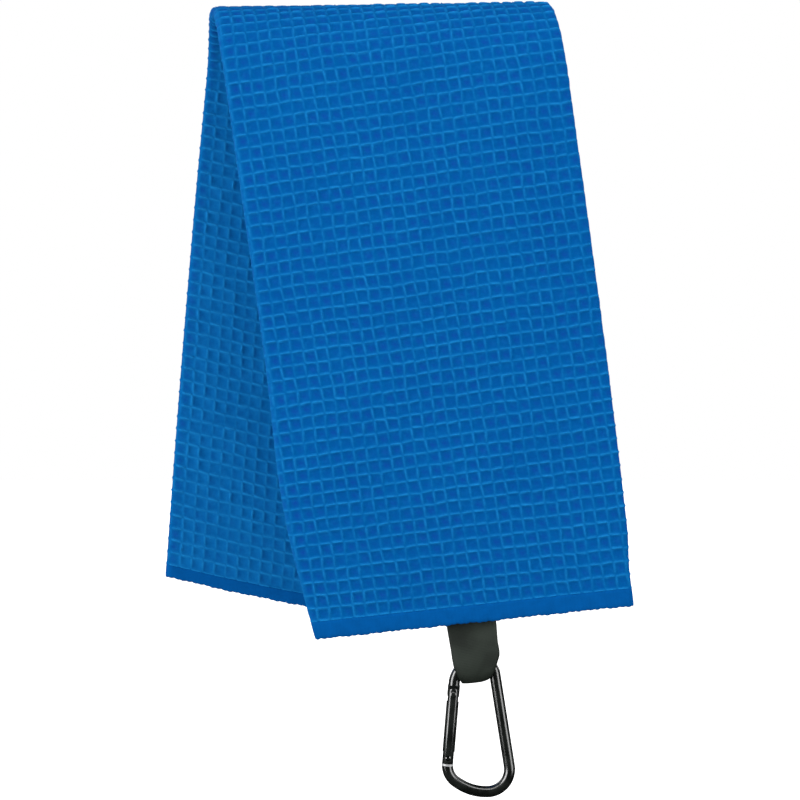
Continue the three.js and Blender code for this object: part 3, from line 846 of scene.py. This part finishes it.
def carved(name, body, steps, material):
    """A body cut by or kept within others, with its edges broken, placed along the gate."""
    obj = new_object(name, *body, material)
    face_out(obj)
    others = []
    for operation, shape in steps:
        other = new_object(name + "_cutter", *shape, material)
        face_out(other)
        others.append(other)
        modifier = obj.modifiers.new("cut", "BOOLEAN")
        modifier.operation, modifier.object, modifier.solver = operation, other, "EXACT"
    edge = obj.modifiers.new("edge", "BEVEL")
    edge.width, edge.segments, edge.limit_method = BROKEN_EDGE * MM, 2, "ANGLE"
    edge.angle_limit = math.radians(40)
    result = bpy.data.meshes.new_from_object(obj.evaluated_get(bpy.context.evaluated_depsgraph_get()))
    obj.modifiers.clear()
    obj.data = result
    for other in others:
        bpy.data.objects.remove(other)
    along_gate(result)
    result.shade_smooth()
    result.set_sharp_from_angle(angle=math.radians(35))
    return obj


def joined(name, *objects):
    """One object from several that touch."""
    bpy.ops.object.select_all(action="DESELECT")
    for o in objects:
        o.select_set(True)
    bpy.context.view_layer.objects.active = objects[0]
    bpy.ops.object.join()
    objects[0].name = name
    return objects[0]


def carabiner_wire():
    path = subdivided(wire_path(), 1.4)
    start, end = path[0], path[-1]
    along0 = (path[1] - start) / np.linalg.norm(path[1] - start)
    along1 = (end - path[-2]) / np.linalg.norm(end - path[-2])
    inner = [p for p in path[1:-1] if np.linalg.norm(p - start) > 0.3 and np.linalg.norm(p - end) > 0.95]
    stations = [start, start + along0 * WIRE_CHAMFER] + inner + [end - along1 * RIM_LENGTH]
    radii = np.full(len(stations), WIRE / 2)
    radii[0] -= WIRE_CHAMFER
    wire = tube("carabiner_wire", in_space(np.array(stations)), radii, 36, anodised, 50)
    tongue_body = prism(rounded_bar(TONGUE_RADIUS, HINGE_SHOULDER + 0.8), TONGUE_THICKNESS / 2)
    hole = cross_mesh(RIVET_SHAFT / 2 + JOINT_GAP, WIRE, 0.0)
    tongue = carved("tongue", tongue_body, [("DIFFERENCE", hole)], anodised)
    low = -GATE_LENGTH - JOINT_GAP
    nose_body = prism(box_outline(NOSE_WIDTH / 2, low - 0.6, low + NOSE_HEIGHT), NOSE_THICKNESS / 2)
    notch_half = PIN / 2 + JOINT_GAP
    opening = box_outline(NOSE_WIDTH / 2, PIN_HEIGHT - notch_half, PIN_HEIGHT + notch_half)
    notch = [(x + NOSE_WIDTH / 2 - notch_half, z) for x, z in opening]
    nose = carved("nose", nose_body, [("DIFFERENCE", prism(notch, NOSE_THICKNESS))], anodised)
    return joined("carabiner_wire", wire, tongue, nose)


def nose_face():
    """The bare metal rim at the nose, where the anodising is cut back beside the gate; being only half
    metallic, its light colour also paints in the reflection of the light from above off the nose's end
    face.
    """
    low = -GATE_LENGTH - JOINT_GAP
    heights = np.array([low - 0.86, low - 0.84, low - 0.12, low])
    radii = np.array([WIRE / 2 - 0.02, WIRE / 2 + 0.03, WIRE / 2 + 0.03, WIRE / 2 - 0.12])
    path = np.stack([0 * heights, 0 * heights, heights], -1)
    obj = tube("nose_face", path, radii, 36, bare_steel, 30)
    along_gate(obj.data)
    return obj


def gate_body():
    half = GATE / 2
    keep = prism(rounded_bar(half, -GATE_LENGTH - 1), GATE)
    hinge_slot = box_cutter(GATE, TONGUE_THICKNESS + SLOT_CLEARANCE, -3.0, GATE)
    slot_top = -GATE_LENGTH + NOSE_HEIGHT + 0.6
    latch_slot = box_cutter(GATE, NOSE_THICKNESS + SLOT_CLEARANCE, -GATE_LENGTH - 1, slot_top)
    steps = [
        ("INTERSECT", keep),
        ("DIFFERENCE", hinge_slot),
        ("DIFFERENCE", latch_slot),
        ("DIFFERENCE", rod_mesh(SPRING_BORE, -SPRING_BORE_DEPTH, 0.3, 32)),
        ("DIFFERENCE", cross_mesh(RIVET_SHAFT / 2 + JOINT_GAP, GATE, 0.0)),
        ("DIFFERENCE", cross_mesh(PIN / 2 + JOINT_GAP, GATE, PIN_HEIGHT)),
    ]
    return carved("carabiner_gate_tube", rod_mesh(half, -GATE_LENGTH, half, 64), steps, anodised)


def rivet():
    """The hinge's rivet, with a domed head on each side."""
    face, rim = GATE / 2 + 0.25, RIVET_HEAD / 2
    shaft = [(0.0, RIVET_SHAFT / 2), (face - 0.02, RIVET_SHAFT / 2)]
    head = [(face, rim), (face + 0.12, rim), (face + 0.28, rim - 0.22), (face + 0.38, rim - 0.6)]
    half = shaft + head + [(face + 0.42, 0.12)]
    profile = [(-y, r) for y, r in reversed(half)] + half[1:]
    path = np.array([(0, y, 0) for y, _ in profile])
    radii = np.array([r for _, r in profile])
    obj = tube("hinge_rivet_domed", path, radii, 32, anodised, 40, (1, 0, 0))
    along_gate(obj.data)
    return obj


wire, gate, bare_rim_and_glint, pin_rivet = carabiner_wire(), gate_body(), nose_face(), rivet()
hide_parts("carabiner_frame")
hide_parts("carabiner_gate")
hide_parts("hinge_rivet")
for piece, body, slot in (
    (wire, "carabiner", "carabiner_black"),
    (bare_rim_and_glint, "carabiner", "bare_steel"),
    (gate, "gate", "carabiner_black"),
    (pin_rivet, "gate", "carabiner_black"),
):
    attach(piece, body)
for name in ("latch_pin", "gate_spring", "spring_plunger"):
    node = frame["nodes"][name]
    node.data.materials.clear()
    node.data.materials.append(anodised if name == "latch_pin" else bare_steel)

# ---- floor, light and camera -------------------------------------------------------------------

FLOOR_HEIGHT = -0.42


def floor():
    n = Nodes("pale_floor")
    glow = {"Emission_Color": (1.0, 1.0, 1.0, 1.0), "Emission_Strength": 0.8}
    n.finish((0.9, 0.9, 0.9, 1), 0.9, Specular_IOR_Level=0.0, **glow)
    side = 6.0
    mesh = bpy.data.meshes.new("floor")
    corners = [(x * side, y * side, FLOOR_HEIGHT) for x, y in ((-1, -1), (1, -1), (1, 1), (-1, 1))]
    mesh.from_pydata(corners, [], [[0, 1, 2, 3]])
    mesh.materials.append(n.material)
    obj = bpy.data.objects.new("floor", mesh)
    bpy.context.scene.collection.objects.link(obj)
    obj.visible_glossy = obj.visible_diffuse = False


def softbox(name, direction, distance, width, height, radiance):
    """A rectangular light aimed at the object's middle."""
    light = bpy.data.lights.new(name, "AREA")
    light.shape, light.size, light.size_y = "RECTANGLE", width, height
    light.energy = radiance * math.pi * width * height
    obj = bpy.data.objects.new(name, light)
    bpy.context.scene.collection.objects.link(obj)
    middle = (cad_box[0] + cad_box[1]) / 2
    away = Vector(direction).normalized()
    obj.location = middle + away * distance
    obj.rotation_euler = away.to_track_quat("Z", "Y").to_euler()


def studio():
    world = bpy.data.worlds.new("studio")
    bpy.context.scene.world = world
    world.use_nodes = True
    tree = world.node_tree
    background = tree.nodes["Background"]
    background.inputs["Color"].default_value = (1, 1, 1, 1)
    seen = tree.nodes.new("ShaderNodeLightPath")
    strength = tree.nodes.new("ShaderNodeMapRange")
    strength.inputs["To Min"].default_value = 0.69
    strength.inputs["To Max"].default_value = 1.0
    tree.links.new(seen.outputs["Is Camera Ray"], strength.inputs["Value"])
    tree.links.new(strength.outputs[0], background.inputs["Strength"])
    world.cycles_visibility.glossy = False
    softbox("side_left", (-0.85, -0.53, 0.05), 0.9, 0.46, 0.8, 4.6)
    softbox("side_right", (0.85, -0.53, 0.05), 0.9, 0.42, 0.8, 2.8)
    softbox("key", (0.1, -0.6, 0.8), 0.8, 1.4, 0.22, 2.9)
    softbox("back_left", (-0.6, 0.75, 0.35), 1.4, 0.5, 0.9, 1.6)
    softbox("back_right", (0.75, 0.6, 0.35), 1.4, 0.5, 0.9, 1.6)


def camera():
    data = bpy.data.cameras.new("camera")
    data.lens, data.sensor_width = 98.0, 36.0
    obj = bpy.data.objects.new("camera", data)
    bpy.context.scene.collection.objects.link(obj)
    obj.location = (0.0088, -0.93, -0.1618)
    obj.rotation_euler = (math.radians(90), 0, 0)
    bpy.context.scene.camera = obj


floor()
studio()
camera()
bpy.context.scene.view_settings.view_transform = "Standard"
